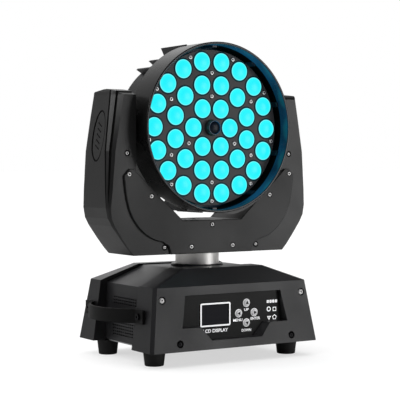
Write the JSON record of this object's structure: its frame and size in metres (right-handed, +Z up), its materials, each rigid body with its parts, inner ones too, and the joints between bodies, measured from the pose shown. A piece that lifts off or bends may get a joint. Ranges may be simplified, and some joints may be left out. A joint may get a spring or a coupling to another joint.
{
  "type": "moving head light",
  "caption": "Yoke-mounted wash light: a round head of cyan-lit lenses tilts in a yoke that pans on a box base with display, keys, strap handles and rubber feet.",
  "frame": {"origin": "on the floor, under the pan axis", "axes": "+Z up along the pan axis, the lit face and the display look along -Y, +X along the tilt axis"},
  "size_m": [0.3176, 0.2034, 0.427],
  "materials": {
    "base_plastic": "fine-grained satin black moulded plastic",
    "yoke_plastic": "fine-grained satin black moulded plastic",
    "cover_plate_plastic": "smooth satin black moulded plastic",
    "head_plastic": "satin black moulded plastic",
    "panel_plastic": "smooth black panel",
    "lens_plate_black": "matt black plate",
    "lens_glass": "clear moulded optic lit from behind",
    "lcd_glass": "dark display glass",
    "key_metal": "polished metal",
    "strap_rubber": "satin black rubber",
    "foot_rubber": "matt black rubber",
    "belt_rubber": "matt black rubber",
    "screw_steel": "nickel-plated",
    "shaft_steel": "turned and brushed",
    "sheet_steel": "galvanised sheet",
    "bearing_steel": "ground",
    "motor_black": "black with ground end faces",
    "cast_aluminium": "machined",
    "board_green": "solder-masked board",
    "emitter_white": "phosphor emitter",
    "socket_black": "black moulding",
    "rocker_red": "glossy red rocker",
    "collar_black": "satin black ring"
  },
  "bodies": {
    "base": {"front_cover": "base_plastic", "rear_cover": "base_plastic", "middle_housing": "base_plastic", "base_plate": "sheet_steel", "rubber_feet": "foot_rubber", "base_cover_screws": "screw_steel", "handle_left": "strap_rubber", "handle_right": "strap_rubber", "handle_bolts": "screw_steel", "display_panel": "panel_plastic", "lcd_screen": "lcd_glass", "display_board": "board_green", "rear_panel": "panel_plastic", "power_inlet": "socket_black", "fuse_holder": "socket_black", "switch_frame": "socket_black", "data_inlet": "socket_black", "data_outlet": "socket_black", "bearing_bridge": "sheet_steel", "pan_bearing": "bearing_steel", "shaft_collar": "collar_black", "pan_motor": "motor_black", "pan_belt": "belt_rubber", "power_supply": "sheet_steel", "main_board": "board_green"},
    "yoke": {"yoke_left_cover": "yoke_plastic", "yoke_right_cover": "yoke_plastic", "inner_cover_left": "yoke_plastic", "inner_cover_right": "yoke_plastic", "yoke_front_cover": "cover_plate_plastic", "yoke_rear_cover": "cover_plate_plastic", "yoke_screws": "screw_steel", "yoke_frame": "sheet_steel", "pan_shaft": "shaft_steel", "pan_pulley": "cast_aluminium", "tilt_bearings": "bearing_steel", "tilt_motor": "motor_black", "tilt_belt": "belt_rubber"},
    "head": {"head_ring": "head_plastic", "rear_housing": "head_plastic", "heat_sink": "cast_aluminium", "tilt_shafts": "shaft_steel", "tilt_pulley": "cast_aluminium", "led_board": "board_green", "leds": "emitter_white", "guide_post": "socket_black", "head_fan": "socket_black", "zoom_motors": "motor_black"},
    "optics": {"lens_plate": "lens_plate_black", "lenses": "lens_glass", "plate_screws": "screw_steel", "zoom_shafts": "shaft_steel"},
    "fan_wheel": {"fan_rotor": "socket_black"},
    "pan_pinion": {"pan_motor_pulley": "cast_aluminium"},
    "tilt_pinion": {"tilt_motor_pulley": "cast_aluminium"},
    "up_key": {"button_up": "key_metal"},
    "down_key": {"button_down": "key_metal"},
    "left_key": {"button_left": "key_metal"},
    "right_key": {"button_right": "key_metal"},
    "rocker": {"power_switch": "rocker_red"}
  },
  "joints": [
    {"name": "pan", "type": "hinge", "parent": "base", "child": "yoke", "pos_m": [0, 0, 0.13], "axis": [0, 0, 1], "range_deg": [-270, 270]},
    {"name": "tilt", "type": "hinge", "parent": "yoke", "child": "head", "pos_m": [0, 0, 0.311], "axis": [1, 0, 0], "range_deg": [-135, 135]},
    {"name": "zoom", "type": "slide", "parent": "head", "child": "optics", "axis": [0, -1, 0], "range_m": [0, 0.014]},
    {"name": "head_fan_spin", "type": "hinge", "parent": "head", "child": "fan_wheel", "pos_m": [0, 0.032, 0.311], "axis": [0, 1, 0], "continuous": true},
    {"name": "pan_motor_spin", "type": "hinge", "parent": "base", "child": "pan_pinion", "pos_m": [0.086, 0, 0.088], "axis": [0, 0, 1], "range_deg": [-1350, 1350]},
    {"name": "tilt_motor_spin", "type": "hinge", "parent": "yoke", "child": "tilt_pinion", "pos_m": [-0.123, 0, 0.216], "axis": [1, 0, 0], "range_deg": [-472.5, 472.5]},
    {"name": "press_up", "type": "slide", "parent": "base", "child": "up_key", "axis": [0, 1, 0], "range_m": [0, 0.001], "stiffness_N_per_m": 400, "springref_m": -0.0005},
    {"name": "press_down", "type": "slide", "parent": "base", "child": "down_key", "axis": [0, 1, 0], "range_m": [0, 0.001], "stiffness_N_per_m": 400, "springref_m": -0.0005},
    {"name": "press_left", "type": "slide", "parent": "base", "child": "left_key", "axis": [0, 1, 0], "range_m": [0, 0.001], "stiffness_N_per_m": 400, "springref_m": -0.0005},
    {"name": "press_right", "type": "slide", "parent": "base", "child": "right_key", "axis": [0, 1, 0], "range_m": [0, 0.001], "stiffness_N_per_m": 400, "springref_m": -0.0005},
    {"name": "power_switch_rock", "type": "hinge", "parent": "base", "child": "rocker", "pos_m": [0.002, 0.085, 0.07], "axis": [0, 0, 1], "range_deg": [-20, 0]}
  ],
  "couplings": [
    {"joint": "pan_motor_spin", "follows": "pan", "ratio": 5},
    {"joint": "tilt_motor_spin", "follows": "tilt", "ratio": 3.5}
  ]
}
